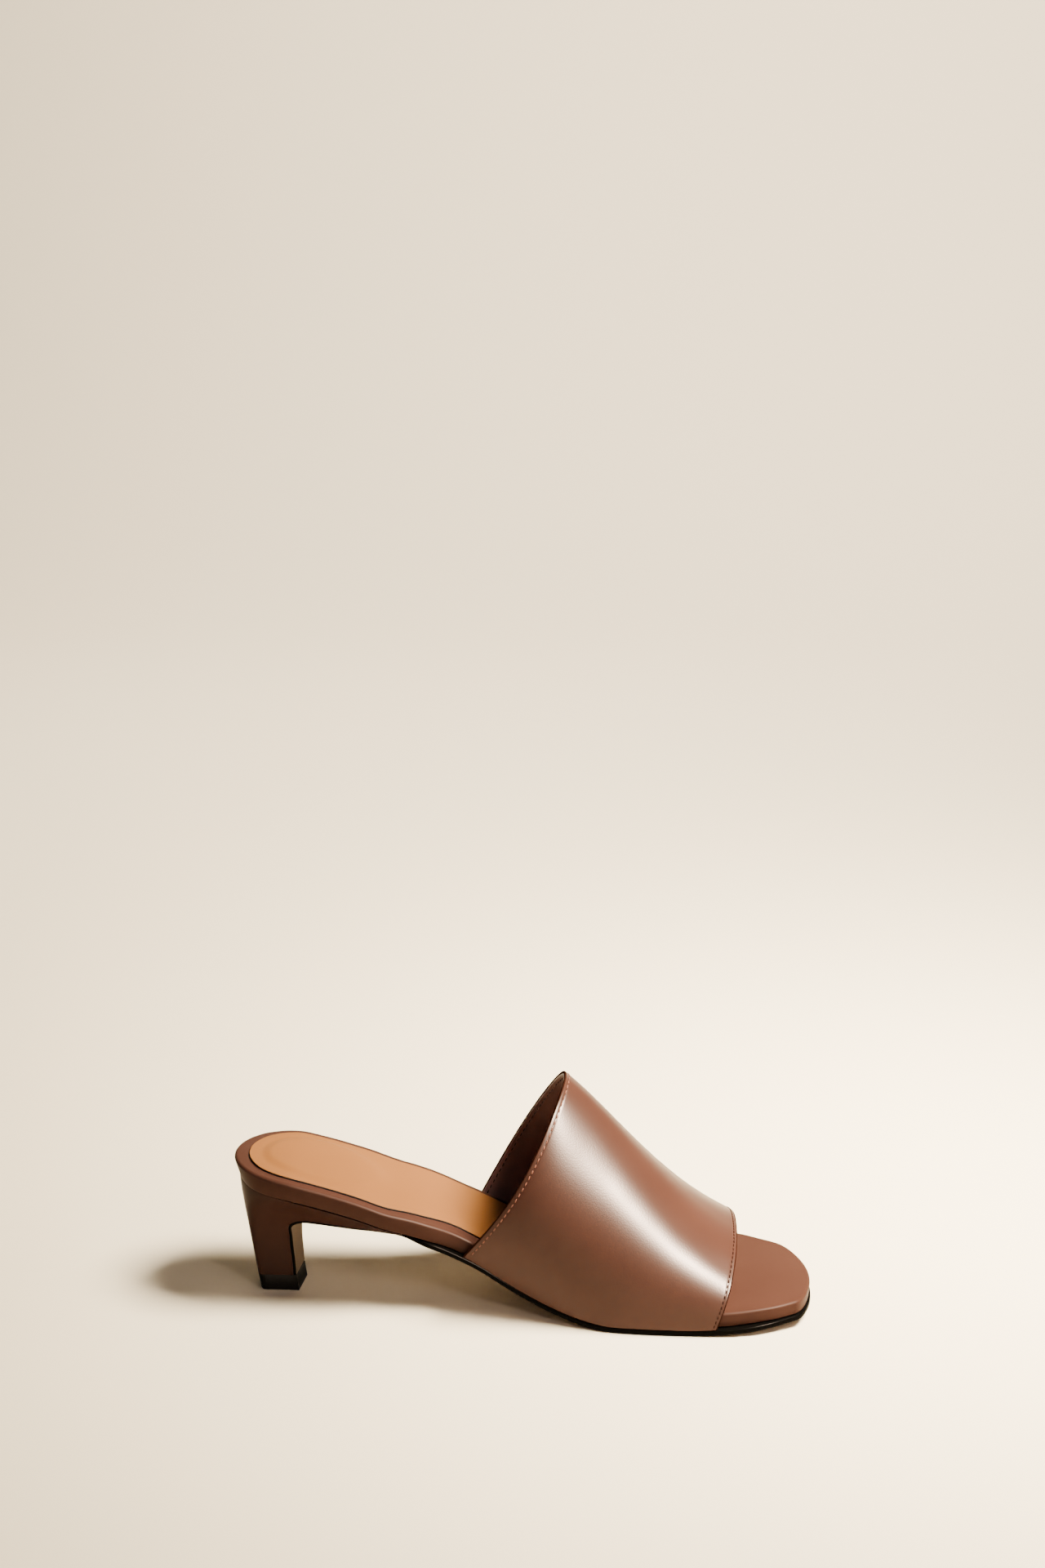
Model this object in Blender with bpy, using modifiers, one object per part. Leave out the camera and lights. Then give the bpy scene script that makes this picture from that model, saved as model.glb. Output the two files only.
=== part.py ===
"""A left heeled mule: outsole, heel, top lift, footbed, sock and a one-piece open-toe vamp.

Metres, +Z up. The toe points along +X, and the inner side of the foot faces -Y. The pieces are modelled
with X from the heel's back to the toe's tip and the floor at Z = 0, and then centred as a whole.
"""

from collections import namedtuple
import math

import bmesh
import bpy
from mathutils import Vector

# Driving sizes
SHOE_LENGTH = 0.2406
BALL_WIDTH = 0.0757
INSTEP_HEIGHT = 0.0980  # the collar's crest above the floor
HEEL_PITCH = 0.0493  # rise of the heel seat above the forefoot
SOLE_THICKNESS = 0.0023
FLAP_THICKNESS = 0.0013  # the sole is skived under the heel
SOLE_EDGE_BEVEL = 0.0003
UPPER_WALL = 0.0018
FOOTBED_AT_HEEL = 0.0089  # thickness of the wrapped board
FOOTBED_AT_TOE = 0.0061
FOOTBED_EDGE_RADIUS = 0.0014
SOCK_THICKNESS = 0.0006
SOCK_OUTER_INSET = 0.0042
SOCK_HEEL_INSET = 0.0064
SOCK_END = 0.182
TOP_LIFT_HEIGHT = 0.0070
TOP_LIFT_CHAMFER = 0.0004
CLEARANCE = 0.0003

# Plan: the round of the heel and the soft square of the toe
HEEL_ROUND = 0.030
HEEL_SQUARENESS = 2.0
TOE_ROUND_INNER = 0.007
TOE_ROUND_OUTER = 0.012
TOE_SQUARENESS = 2.0
TOE_CENTRE = -0.0075

# Heel: how its sides and back draw in from the seat to the tip
HEEL_SEAT_SET_IN = 0.0017
HEEL_BACK_AT_SEAT = 0.0028
HEEL_BACK_AT_TIP = 0.0092
HEEL_TIP_INNER = 0.0079
HEEL_TIP_OUTER = 0.0050
HEEL_TIP_ROUND = 0.0036
HEEL_TIP_SQUARENESS = 3.4
HEEL_TAPER = 3.0
HEEL_WEDGE_END = 0.0720
BREAST_CORNER = 0.0072
BREAST_TOP = 0.0300  # where the breast's curve begins
BREAST_SKEW = 0.13  # the outer side stands further forward
FLAP_END = 0.060  # the flap's thinness and skew fade out on either side of here
FLAP_FADE = 0.025
WEDGE_BLEND_END = 0.084  # from here on the outsole follows the plan outline
WEDGE_BLEND = 0.015
LIFT_BACK_AT_FLOOR = 0.0104
LIFT_FLARE = 0.0009  # its front stands forward at the floor

# Outline of the sole from above: half widths in shares of the ball's half width
Plan = namedtuple("Plan", "along inner outer")
PLAN = (
    Plan(0.000, 0.660, 0.660),
    Plan(0.140, 0.672, 0.674),
    Plan(0.256, 0.680, 0.680),
    Plan(0.339, 0.617, 0.715),
    Plan(0.417, 0.585, 0.775),
    Plan(0.479, 0.635, 0.850),
    Plan(0.545, 0.745, 0.930),
    Plan(0.600, 0.860, 1.000),
    Plan(0.653, 0.950, 1.040),
    Plan(0.735, 0.983, 1.035),
    Plan(0.800, 0.988, 1.020),
    Plan(0.845, 0.985, 0.980),
    Plan(0.885, 0.956, 0.888),
    Plan(0.928, 0.877, 0.697),
    Plan(0.962, 0.777, 0.531),
    Plan(1.000, 0.666, 0.351),
)

# Side view: the footbed's underside, and how far the heel's wedge holds the sole below it, in shares of
# the heel pitch
Side = namedtuple("Side", "along rise wedge")
SIDE = (
    Side(0.00, 1.000, 0.260),
    Side(0.10, 0.958, 0.260),
    Side(0.14, 0.916, 0.230),
    Side(0.22, 0.806, 0.158),
    Side(0.28, 0.700, 0.038),
    Side(0.31, 0.657, 0.008),
    Side(0.36, 0.566, 0.000),
    Side(0.42, 0.416, 0.000),
    Side(0.50, 0.196, 0.000),
    Side(0.56, 0.082, 0.000),
    Side(0.62, 0.018, 0.000),
    Side(0.67, 0.000, 0.000),
    Side(0.78, 0.000, 0.000),
    Side(0.85, 0.018, 0.000),
    Side(0.92, 0.048, 0.000),
    Side(1.00, 0.080, 0.000),
)

# The footbed's edge set in from the outline, how far its side leans in below, and the sock's inner edge set
# in from there, all in shares of the room that the vamp's wall takes
Board = namedtuple("Board", "along edge lean sock")
BOARD = (
    Board(0.000, 0.430, 1.000, 1.85),
    Board(0.050, 0.143, 0.667, 1.85),
    Board(0.249, 0.143, 0.667, 1.90),
    Board(0.332, 0.143, 0.300, 2.30),
    Board(0.399, 1.000, 0.143, 2.70),
    Board(0.881, 1.000, 0.143, 2.70),
    Board(0.964, 0.286, 0.143, 2.70),
    Board(1.000, 0.286, 0.143, 2.70),
)

# Front of the breast above the top lift, in shares of the shoe's length and of the breast's height
Breast = namedtuple("Breast", "height forward")
BREAST = (
    Breast(0.00, 0.1128),
    Breast(0.30, 0.1115),
    Breast(0.65, 0.1095),
    Breast(1.00, 0.1095),
)

# Arches of the vamp, along it from the collar to the toe edge. Feet, crest and sweeps are in shares of the
# shoe's length, a sweep being how far a side lies forward halfway up. Height is in shares of the instep
# height, and the crest's shift and the bulges are in shares of the ball width.
Arch = namedtuple(
    "Arch",
    "along inner_foot outer_foot crest height shift "
    "inner_bulge outer_bulge inner_sweep outer_sweep squareness",
)
ARCHES = (
    Arch(0.00, 0.403, 0.412, 0.574, 1.000, -0.017, 0.091, 0.096, 0.0140, 0.0030, 2.24),
    Arch(0.25, 0.511, 0.522, 0.646, 0.825, -0.020, 0.110, 0.060, 0.0040, 0.0005, 2.15),
    Arch(0.50, 0.619, 0.630, 0.718, 0.630, -0.024, 0.045, 0.024, 0.0010, 0.0000, 2.15),
    Arch(0.75, 0.727, 0.738, 0.794, 0.449, -0.020, 0.015, 0.016, 0.0025, 0.0030, 2.20),
    Arch(1.00, 0.835, 0.845, 0.872, 0.316, -0.012, 0.011, 0.019, 0.0010, -0.0050, 2.31),
)

PLAN_STATIONS = 42
HEEL_ROWS = 12
HEEL_COLUMNS = 16
HEEL_COLUMN_SPREAD = 1.8  # columns crowd towards the back
CORNER_STEPS = 5
BREAST_STEPS = 6
BOARD_EDGE_STEPS = 4
LIFT_COLUMNS = (0.01, 0.06, 0.15, 0.3, 1.0)
ARCH_POINTS = 28
ARCH_ROWS = 18


def slopes(places, values):
    """Slope of a smooth curve at each place, flat wherever the values turn or stay level."""
    steps = [(b - a) / (q - p) for p, q, a, b in zip(places, places[1:], values, values[1:])]
    inner = [2 * a * b / (a + b) if a * b > 0 else 0.0 for a, b in zip(steps, steps[1:])]
    return [steps[0]] + inner + [steps[-1]]


def smooth(table, column, place, key="along"):
    """Value of a table's column at a place, on a smooth curve through its rows."""
    places = [getattr(row, key) for row in table]
    values = [getattr(row, column) for row in table]
    place = min(max(place, places[0]), places[-1])
    after = next(i for i in range(1, len(places)) if place <= places[i])
    start, end = places[after - 1], places[after]
    span = end - start
    t = (place - start) / span
    tangents = slopes(places, values)
    return (
        values[after - 1] * (2 * t**3 - 3 * t**2 + 1)
        + tangents[after - 1] * span * (t**3 - 2 * t**2 + t)
        + values[after] * (3 * t**2 - 2 * t**3)
        + tangents[after] * span * (t**3 - t**2)
    )


def mix(a, b, share):
    return a + (b - a) * share


def ease(share):
    share = min(max(share, 0.0), 1.0)
    return share * share * (3 - 2 * share)


def round_end(distance, radius, squareness):
    """Share of the full width at a distance from a rounded end."""
    if distance >= radius:
        return 1.0
    return (1 - (1 - max(distance, 0.0) / radius) ** squareness) ** (1 / squareness)


def body_half_width(x, side):
    """Half width of the sole without its round ends; side is -1 inside and +1 outside."""
    column = "inner" if side < 0 else "outer"
    return smooth(PLAN, column, x / SHOE_LENGTH) * BALL_WIDTH / 2


def sole_edge(x, side):
    """Y of the sole's edge at a distance from the heel's back."""
    y = side * body_half_width(x, side) * round_end(x, HEEL_ROUND, HEEL_SQUARENESS)
    toe_round = TOE_ROUND_INNER if side < 0 else TOE_ROUND_OUTER
    toe_share = round_end(SHOE_LENGTH - x, toe_round, TOE_SQUARENESS)
    return TOE_CENTRE + (y - TOE_CENTRE) * toe_share


def seat_height(x):
    """Height of the footbed's underside."""
    rise = smooth(SIDE, "rise", x / SHOE_LENGTH) * HEEL_PITCH
    return SOLE_THICKNESS + CLEARANCE + rise


def footbed_top(x):
    return seat_height(x) + mix(FOOTBED_AT_HEEL, FOOTBED_AT_TOE, x / SHOE_LENGTH)


def sole_underside(x):
    """Height of the outsole's lower face, from the toe to the corner with the heel's breast."""
    wedge = smooth(SIDE, "wedge", x / SHOE_LENGTH) * HEEL_PITCH
    return seat_height(x) - CLEARANCE - SOLE_THICKNESS - wedge


def thickness_at(x):
    """Thickness of the outsole, which is skived from the waist to the heel."""
    return mix(FLAP_THICKNESS, SOLE_THICKNESS, ease((x - FLAP_END) / FLAP_FADE))


def stations(start, end, count):
    """Places from one rounded end to the other, closer together towards both."""
    return [mix(start, end, (1 - math.cos(math.pi * i / count)) / 2) for i in range(count + 1)]


def plan_ring(start, end, count, edge):
    """Closed outline from above: back point, inner side, front point, outer side."""
    places = stations(start, end, count)
    middle = places[1:-1]
    inner = [Vector((x, edge(x, -1), 0.0)) for x in middle]
    outer = [Vector((x, edge(x, 1), 0.0)) for x in reversed(middle)]
    back = Vector((start, (edge(start, -1) + edge(start, 1)) / 2, 0.0))
    front = Vector((end, (edge(end, -1) + edge(end, 1)) / 2, 0.0))
    return [back] + inner + [front] + outer


def drawn_in(ring, inset):
    """The ring moved inwards, by a distance or by a function of the point."""
    moved = []
    for i, point in enumerate(ring):
        along = ring[(i + 1) % len(ring)] - ring[i - 1]
        inwards = Vector((-along.y, along.x, 0.0)).normalized()
        distance = inset(point) if callable(inset) else inset
        moved.append(point + inwards * distance)
    return moved


def at_height(ring, height):
    return [Vector((p.x, p.y, height(p.x))) for p in ring]


def new_object(name, bm, collection):
    bmesh.ops.recalc_face_normals(bm, faces=bm.faces)
    mesh = bpy.data.meshes.new(name)
    bm.to_mesh(mesh)
    bm.free()
    obj = bpy.data.objects.new(name, mesh)
    collection.objects.link(obj)
    return obj


def ring_solid(name, rings, collection):
    """A loft through rings of the same count, closed by a strip of faces across its first and last."""
    bm = bmesh.new()
    levels = [[bm.verts.new(point) for point in ring] for ring in rings]
    count = len(rings[0])
    for lower, upper in zip(levels, levels[1:]):
        for i in range(count):
            j = (i + 1) % count
            bm.faces.new((lower[i], lower[j], upper[j], upper[i]))
    for ring in (levels[0], levels[-1]):
        bm.faces.new((ring[0], ring[1], ring[-1]))
        low, high = 1, count - 1
        while high - low > 2:
            bm.faces.new((ring[low], ring[low + 1], ring[high - 1], ring[high]))
            low, high = low + 1, high - 1
        if high - low == 2:
            bm.faces.new((ring[low], ring[low + 1], ring[high]))
    bmesh.ops.triangulate(bm, faces=bm.faces)
    return new_object(name, bm, collection)


def finish(obj, color, roughness, coat=0.0):
    """Give the object a material of its own and smooth its round faces."""
    material = bpy.data.materials.new(obj.name)
    material.use_nodes = True
    shader = material.node_tree.nodes["Principled BSDF"]
    shader.inputs["Base Color"].default_value = (*color, 1.0)
    shader.inputs["Roughness"].default_value = roughness
    shader.inputs["Metallic"].default_value = 0.0
    shader.inputs["Coat Weight"].default_value = coat
    obj.data.materials.append(material)
    obj.data.shade_smooth()
    obj.data.set_sharp_from_angle(angle=math.radians(40))


def add_bevel(obj, width):
    bevel = obj.modifiers.new("edges", "BEVEL")
    bevel.width = width
    bevel.segments = 1
    bevel.limit_method = "ANGLE"
    bevel.angle_limit = math.radians(50)


# Heel


def heel_depth_share(x, z):
    """How far down the heel a point is: 0 at the seat and 1 at the tip."""
    seat = seat_height(x) - CLEARANCE
    tip = TOP_LIFT_HEIGHT + CLEARANCE
    return min(max((seat - z) / (seat - tip), 0.0), 1.0)


def tip_half_width(side):
    return HEEL_TIP_INNER if side < 0 else HEEL_TIP_OUTER


def heel_half_width(x, depth, side):
    """Half width of the heel at a station and a share of its depth."""
    taper = 1 - (1 - depth) ** HEEL_TAPER
    flank = mix(body_half_width(x, side) - HEEL_SEAT_SET_IN, tip_half_width(side), taper)
    back = mix(HEEL_BACK_AT_SEAT, HEEL_BACK_AT_TIP, depth)
    radius = mix(HEEL_ROUND, HEEL_TIP_ROUND, taper)
    squareness = mix(HEEL_SQUARENESS, HEEL_TIP_SQUARENESS, taper)
    return flank * round_end(x - back, radius, squareness)


def heel_body(collection):
    """The heel before its underside is cut: rings from the seat down to the tip."""
    rings = []
    for row in range(HEEL_ROWS + 1):
        depth = row / HEEL_ROWS
        back = mix(HEEL_BACK_AT_SEAT, HEEL_BACK_AT_TIP, depth)

        def edge(x, side):
            return side * heel_half_width(x, depth, side)

        def height(x):
            return mix(seat_height(x) - CLEARANCE, TOP_LIFT_HEIGHT + CLEARANCE, depth)

        reach = HEEL_WEDGE_END - back
        steps = [(i / HEEL_COLUMNS) ** HEEL_COLUMN_SPREAD for i in range(1, HEEL_COLUMNS + 1)]
        places = [back + reach * step for step in steps]
        inner = [Vector((x, edge(x, -1), 0.0)) for x in places]
        outer = [Vector((x, edge(x, 1), 0.0)) for x in reversed(places)]
        rings.append(at_height([Vector((back, 0.0, 0.0))] + inner + outer, height))
    return ring_solid("heel", rings, collection)


def breast_forward(z):
    """X of the flap's front face at a height, on the shoe's middle line."""
    share = (z - TOP_LIFT_HEIGHT) / (BREAST_TOP - TOP_LIFT_HEIGHT)
    return smooth(BREAST, "forward", share, key="height") * SHOE_LENGTH


PathPoint = namedtuple("PathPoint", "x z skew")


def sole_path():
    """Side view of the outsole's outer face from the toe to the top lift, with the breast's skew."""
    corner_x = breast_forward(BREAST_TOP) + BREAST_CORNER
    level = sole_underside(corner_x)
    points = []
    for x in reversed(stations(0.0, SHOE_LENGTH, PLAN_STATIONS)):
        if x > corner_x:
            skew = BREAST_SKEW * ease((FLAP_END - x) / FLAP_FADE)
            points.append(PathPoint(x, sole_underside(x), skew))
    for step in range(CORNER_STEPS + 1):
        turn = math.pi / 2 * step / CORNER_STEPS
        x = mix(corner_x, breast_forward(BREAST_TOP), math.sin(turn))
        z = mix(BREAST_TOP, level, math.cos(turn))
        points.append(PathPoint(x, z, BREAST_SKEW))
    tip = TOP_LIFT_HEIGHT + CLEARANCE
    for step in range(1, BREAST_STEPS + 1):
        z = mix(BREAST_TOP, tip, step / BREAST_STEPS)
        points.append(PathPoint(breast_forward(z), z, BREAST_SKEW))
    return points


def path_normals(path):
    """Unit vectors square to the path, pointing into the shoe."""
    normals = []
    for i in range(len(path)):
        before, after = path[max(i - 1, 0)], path[min(i + 1, len(path) - 1)]
        run = Vector((after.x - before.x, 0.0, after.z - before.z)).normalized()
        normals.append(Vector((run.z, 0.0, -run.x)))
    normals[-1] = Vector((-1.0, 0.0, 0.0))
    return normals


def inner_face(point, normal, gap=0.0):
    """Step from the outsole's outer face to its inner one, of even height wherever the sole lies flat."""
    square = normal.z if point.x > HEEL_WEDGE_END else 1.0
    return normal * (thickness_at(point.x) + gap) * square


def under_heel_cutter(collection):
    """Everything in front of the breast and below the wedge, out to the outsole's inner face."""
    path = sole_path()
    edge = []
    for point, normal in zip(path, path_normals(path)):
        if point.x < WEDGE_BLEND_END:
            reach = inner_face(point, normal, CLEARANCE)
            edge.append((point.x + reach.x, point.z + reach.z, point.skew))
    edge[-1] = (edge[-1][0], -TOP_LIFT_HEIGHT, BREAST_SKEW)
    edge.append((edge[0][0], -TOP_LIFT_HEIGHT, 0.0))
    bm = bmesh.new()
    ends = []
    for y in (-BALL_WIDTH, BALL_WIDTH):
        ends.append([bm.verts.new((x + skew * y, y, z)) for x, z, skew in edge])
    for i in range(len(edge)):
        j = (i + 1) % len(edge)
        bm.faces.new((ends[0][i], ends[0][j], ends[1][j], ends[1][i]))
    bm.faces.new(ends[0])
    bm.faces.new(reversed(ends[1]))
    bmesh.ops.triangulate(bm, faces=bm.faces)
    cutter = new_object("under_heel", bm, collection)
    cutter.hide_render = True
    cutter.display_type = "WIRE"
    return cutter


def build_heel(parts, cutters):
    heel = heel_body(parts)
    cut = heel.modifiers.new("under heel", "BOOLEAN")
    cut.operation = "DIFFERENCE"
    cut.object = under_heel_cutter(cutters)
    finish(heel, (0.12, 0.035, 0.018), 0.4)
    return heel


def build_top_lift(parts):
    """The black lift: its back leans in, its front is flush with the flap."""
    rings = []
    top = TOP_LIFT_HEIGHT
    for z, inset in ((0.0, TOP_LIFT_CHAMFER), (TOP_LIFT_CHAMFER, 0.0), (top, 0.0)):
        back = mix(LIFT_BACK_AT_FLOOR, HEEL_BACK_AT_TIP, z / top)
        front = breast_forward(top) + LIFT_FLARE * (1 - z / top)

        def edge(x, side):
            share = round_end(x - back, HEEL_TIP_ROUND, HEEL_TIP_SQUARENESS)
            return side * tip_half_width(side) * share

        places = [back + (front - back) * share for share in LIFT_COLUMNS]
        inner = [Vector((x, edge(x, -1), 0.0)) for x in places]
        outer = [Vector((x, edge(x, 1), 0.0)) for x in reversed(places)]
        ring = [Vector((back, 0.0, 0.0))] + inner + outer
        for point in ring:
            point.x += BREAST_SKEW * point.y * (point.x - back) / (front - back)
        rings.append(at_height(drawn_in(ring, inset), lambda x: z))
    lift = ring_solid("top_lift", rings, parts)
    finish(lift, (0.006, 0.006, 0.006), 0.35)
    return lift


# Sole


def sole_half_width(point, side):
    """Y of the outsole's edge: the plan outline, drawn in with the heel under its wedge."""
    depth = heel_depth_share(point.x, point.z)
    flap = side * heel_half_width(point.x, depth, side)
    share = ease((WEDGE_BLEND_END - point.x) / WEDGE_BLEND)
    return mix(sole_edge(point.x, side), flap, share)


def build_outsole(parts):
    """A leather sheet along the path from the toe, under the wedge and down the breast."""
    path = sole_path()
    normals = path_normals(path)
    rings = []
    for lift in (0, 1):
        inner = []
        outer = []
        for point, normal in zip(path[1:], normals[1:]):
            rise = inner_face(point, normal) * lift
            for side, edge in ((-1, inner), (1, outer)):
                y = sole_half_width(point, side)
                edge.append(Vector((point.x + point.skew * y, y, point.z)) + rise)
        toe = Vector((path[0].x, TOE_CENTRE, path[0].z)) + inner_face(path[0], normals[0]) * lift
        rings.append([toe] + inner + outer[::-1])
    outsole = ring_solid("outsole", rings, parts)
    add_bevel(outsole, SOLE_EDGE_BEVEL)
    finish(outsole, (0.02, 0.012, 0.01), 0.3)
    return outsole


def footbed_inset(point):
    """Inset of the footbed's edge, which is near flush but where it makes room for the vamp's wall."""
    return smooth(BOARD, "edge", point.x / SHOE_LENGTH) * (UPPER_WALL + CLEARANCE)


def footbed_lean(point):
    """How far the footbed's side leans in below: most at the back and little under the vamp."""
    return smooth(BOARD, "lean", point.x / SHOE_LENGTH) * (UPPER_WALL + CLEARANCE)


def build_footbed(parts):
    """The wrapped board: a round upper edge, and a side that leans in a little below."""
    outline = drawn_in(plan_ring(0.0, SHOE_LENGTH, PLAN_STATIONS, sole_edge), footbed_inset)
    radius = FOOTBED_EDGE_RADIUS
    rings = []
    for step in range(BOARD_EDGE_STEPS + 1):
        turn = math.pi / 2 * step / BOARD_EDGE_STEPS
        inset = radius * (1 - math.sin(turn))
        drop = radius * (1 - math.cos(turn))
        rings.append(at_height(drawn_in(outline, inset), lambda x: footbed_top(x) - drop))
    rings.append(at_height(drawn_in(outline, footbed_lean), seat_height))
    footbed = ring_solid("footbed", rings, parts)
    finish(footbed, (0.26, 0.10, 0.055), 0.4)
    return footbed


def build_sock(parts):
    """The thin pad on the footbed, set in most at the heel's back and ending under the vamp."""

    def inset(point):
        across = ease(0.5 + point.y / BALL_WIDTH * 2)
        inner = smooth(BOARD, "sock", point.x / SHOE_LENGTH) * (UPPER_WALL + CLEARANCE)
        edge = mix(inner, SOCK_OUTER_INSET, across)
        return mix(edge, SOCK_HEEL_INSET, max(0.0, 1 - point.x / HEEL_ROUND) ** 2)

    outline = drawn_in(plan_ring(0.0, SHOE_LENGTH, PLAN_STATIONS, sole_edge), footbed_inset)
    whole = drawn_in(outline, inset)
    half = len(whole) // 2
    kept = [i for i in range(1, half) if whole[i].x < SOCK_END]
    inner = [whole[i] for i in kept]
    outer = [whole[-i] for i in reversed(kept)]
    ring = [whole[0]] + inner + outer
    bottom = at_height(ring, lambda x: footbed_top(x) + CLEARANCE)
    top = at_height(ring, lambda x: footbed_top(x) + CLEARANCE + SOCK_THICKNESS)
    sock = ring_solid("sock", (bottom, top), parts)
    finish(sock, (0.66, 0.36, 0.19), 0.6)
    return sock


# Upper


def arch_at(share):
    """The arch at a share of the way from the collar to the toe edge, on one smooth curve through them all."""
    weights = []
    for arch in ARCHES:
        weight = 1.0
        for other in ARCHES:
            if other is not arch:
                weight *= (share - other.along) / (arch.along - other.along)
        weights.append(weight)
    return Arch(*[sum(weight * value for weight, value in zip(weights, column)) for column in zip(*ARCHES)])


def arch_point(arch, share):
    """A point of the vamp's outer face: share runs from its inner foot over the crest to its outer foot."""
    turn = math.pi * share
    side = -1 if share < 0.5 else 1
    rise = math.sin(turn) ** (2 / arch.squareness)
    spread = abs(math.cos(turn)) ** (2 / arch.squareness)
    foot_x = (arch.inner_foot if side < 0 else arch.outer_foot) * SHOE_LENGTH
    foot_z = sole_underside(foot_x) + SOLE_THICKNESS + CLEARANCE
    foot_y = sole_edge(foot_x, side)
    crest_y = arch.shift * BALL_WIDTH
    bulge = (arch.inner_bulge if side < 0 else arch.outer_bulge) * BALL_WIDTH
    sweep = (arch.inner_sweep if side < 0 else arch.outer_sweep) * SHOE_LENGTH
    x = mix(foot_x, arch.crest * SHOE_LENGTH, rise) + sweep * math.sin(math.pi * rise)
    y = mix(crest_y, foot_y, spread) + side * bulge * math.sin(math.pi * rise) * spread
    z = mix(foot_z, arch.height * INSTEP_HEIGHT, rise)
    return Vector((x, y, z))


def build_upper(parts):
    """The vamp: an open surface through its arches, thickened inwards."""
    bm = bmesh.new()
    rows = []
    for row in range(ARCH_ROWS + 1):
        arch = arch_at(row / ARCH_ROWS)
        rows.append([bm.verts.new(arch_point(arch, i / ARCH_POINTS)) for i in range(ARCH_POINTS + 1)])
    for back, front in zip(rows, rows[1:]):
        for i in range(ARCH_POINTS):
            bm.faces.new((back[i], front[i], front[i + 1], back[i + 1]))
    upper = new_object("upper", bm, parts)
    wall = upper.modifiers.new("wall", "SOLIDIFY")
    wall.thickness = UPPER_WALL
    wall.offset = -1.0
    wall.use_even_offset = True
    finish(upper, (0.24, 0.09, 0.05), 0.35, coat=0.3)
    return upper


def clear_scene():
    for obj in list(bpy.data.objects):
        bpy.data.objects.remove(obj)


def new_collection(name):
    collection = bpy.data.collections.new(name)
    bpy.context.scene.collection.children.link(collection)
    return collection


def centre(pieces, cutters):
    """Bring the middle of the whole shoe over the origin, cutters and all."""
    depsgraph = bpy.context.evaluated_depsgraph_get()
    corners = []
    for piece in pieces:
        corners += [Vector(corner) for corner in piece.evaluated_get(depsgraph).bound_box]
    middle = [(min(c[axis] for c in corners) + max(c[axis] for c in corners)) / 2 for axis in (0, 1)]
    whole = bpy.data.objects.new("whole_shoe", None)
    cutters.objects.link(whole)
    whole.location = (-middle[0], -middle[1], 0.0)
    for obj in pieces + [obj for obj in cutters.objects if obj is not whole]:
        obj.parent = whole


def build():
    clear_scene()
    parts = new_collection("heeled_mule")
    cutters = new_collection("cutters")
    pieces = [
        build_outsole(parts),
        build_heel(parts, cutters),
        build_top_lift(parts),
        build_footbed(parts),
        build_sock(parts),
        build_upper(parts),
    ]
    centre(pieces, cutters)


build()
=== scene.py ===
"""Looks of the left heeled mule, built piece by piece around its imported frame.

Metres, +Z up, the toe along +X and the inner side of the foot towards -Y, as in the frame.
"""

import math

import bmesh
import bpy
import numpy as np
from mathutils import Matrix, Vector


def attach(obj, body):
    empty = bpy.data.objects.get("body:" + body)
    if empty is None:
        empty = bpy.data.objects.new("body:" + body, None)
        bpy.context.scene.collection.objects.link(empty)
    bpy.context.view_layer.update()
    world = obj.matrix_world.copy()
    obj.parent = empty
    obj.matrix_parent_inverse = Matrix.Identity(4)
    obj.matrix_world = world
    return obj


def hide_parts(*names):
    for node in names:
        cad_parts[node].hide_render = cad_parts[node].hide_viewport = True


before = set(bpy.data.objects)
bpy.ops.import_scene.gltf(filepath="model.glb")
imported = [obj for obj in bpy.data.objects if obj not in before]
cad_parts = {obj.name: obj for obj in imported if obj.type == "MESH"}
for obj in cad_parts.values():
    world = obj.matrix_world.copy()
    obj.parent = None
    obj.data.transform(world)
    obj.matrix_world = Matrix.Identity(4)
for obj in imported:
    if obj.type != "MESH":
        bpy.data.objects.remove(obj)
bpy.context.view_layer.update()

# Camera: a long view from the inner side of the foot, about a metre away and some 28 degrees above the shoe,
# which stands in the lower half of a tall picture.
CAMERA_PLACE = (0.03939, -0.85684, 0.48953)
CAMERA_DOWN = 17.36
CAMERA_TURN = 2.65
CAMERA_LENS = 52.5
CAMERA_FILM_HEIGHT = 36.0
CAMERA_NEAREST = 0.01

camera = bpy.data.objects.new("camera", bpy.data.cameras.new("camera"))
bpy.context.scene.collection.objects.link(camera)
camera.location = CAMERA_PLACE
camera.rotation_euler = (math.radians(90 - CAMERA_DOWN), 0.0, math.radians(CAMERA_TURN))
camera.data.sensor_fit = "VERTICAL"
camera.data.sensor_height = CAMERA_FILM_HEIGHT
camera.data.lens = CAMERA_LENS
camera.data.clip_start = CAMERA_NEAREST
bpy.context.scene.camera = camera

# Floor and backdrop: one pale matt sheet that lies flat under the shoe and sweeps up behind it.
SWEEP_WIDTH = 6.0
SWEEP_FRONT = -3.0
SWEEP_BACK = 1.15
SWEEP_RADIUS = 0.9
SWEEP_HEIGHT = 3.0
SWEEP_STEPS = 24
SWEEP_COLOR = (0.66, 0.585, 0.47)
SWEEP_ROUGHNESS = 0.9
SWEEP_GLOSS = 0.1

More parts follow.
